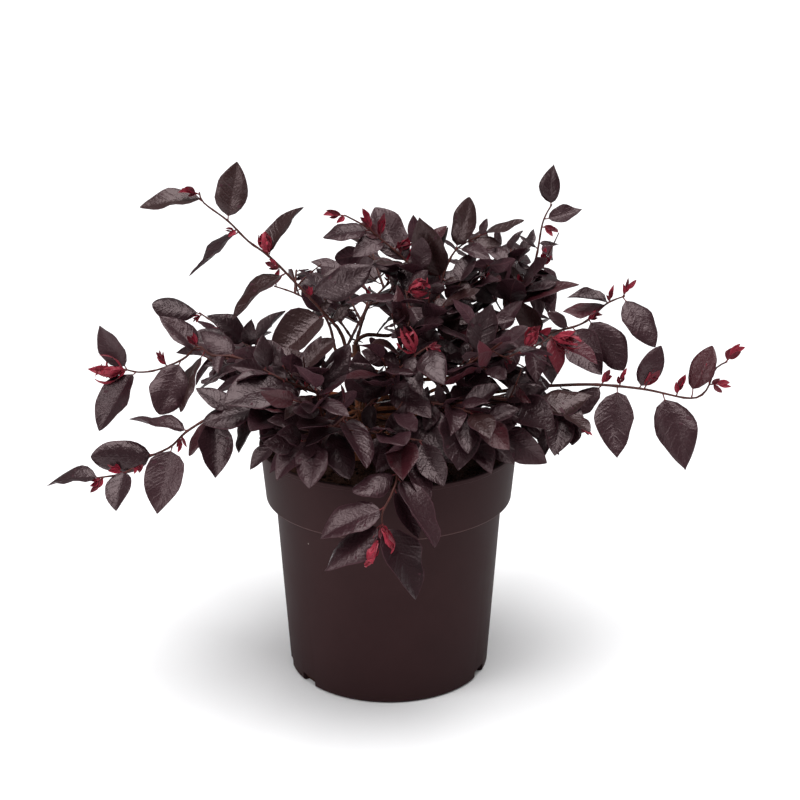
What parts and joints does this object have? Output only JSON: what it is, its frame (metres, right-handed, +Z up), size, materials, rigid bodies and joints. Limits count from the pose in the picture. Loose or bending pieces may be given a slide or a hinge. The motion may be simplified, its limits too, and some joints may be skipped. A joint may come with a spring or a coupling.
{
  "type": "potted chinese fringe flower shrub",
  "caption": "Young evergreen shrub with arching shoots of dark purple leaves and crimson new growth, planted in a plain round dark plastic nursery pot.",
  "frame": {"origin": "centre of the pot's flat underside, on the surface it stands on", "axes": "+Z up along the pot's axis; the pictured side faces -Y, with +X to its right"},
  "size_m": [0.4314, 0.3256, 0.3363],
  "materials": {
    "pot_plastic": "matt, moulded, dark brown-black",
    "potting_soil": "moist loose peat, rough",
    "bark": "young bark, orange-brown, dull",
    "foliage": "dark purple-black leaves with a satin sheen and crimson young growth"
  },
  "bodies": {
    "root": {"back_centre": "foliage", "back_high": "foliage", "back_left_high": "foliage", "back_left_low": "foliage", "back_right": "foliage", "back_right_low": "foliage", "bough_back_centre": "bark", "bough_back_high": "bark", "bough_back_left_high": "bark", "bough_back_left_low": "bark", "bough_back_right": "bark", "bough_back_right_low": "bark", "bough_core": "bark", "bough_front_centre": "bark", "bough_front_hanging": "bark", "bough_front_left": "bark", "bough_front_right": "bark", "bough_inner_left": "bark", "bough_inner_right": "bark", "bough_left_high": "bark", "bough_left_low": "bark", "bough_left_middle": "bark", "bough_left_shoulder": "bark", "bough_low_centre": "bark", "bough_low_left": "bark", "bough_low_right": "bark", "bough_right_high": "bark", "bough_right_long": "bark", "bough_right_low": "bark", "bough_right_shoulder": "bark", "bough_rim_left": "bark", "bough_rim_right": "bark", "bough_top_centre": "bark", "bough_top_left": "bark", "core": "foliage", "front_centre": "foliage", "front_hanging": "foliage", "front_left": "foliage", "front_right": "foliage", "inner_left": "foliage", "inner_right": "foliage", "left_high": "foliage", "left_low": "foliage", "left_middle": "foliage", "left_shoulder": "foliage", "low_centre": "foliage", "low_left": "foliage", "low_right": "foliage", "pot": "pot_plastic", "right_high": "foliage", "right_long": "foliage", "right_low": "foliage", "right_shoulder": "foliage", "rim_left": "foliage", "rim_right": "foliage", "soil": "potting_soil", "top_centre": "foliage", "top_left": "foliage", "trunk": "bark"}
  },
  "joints": []
}
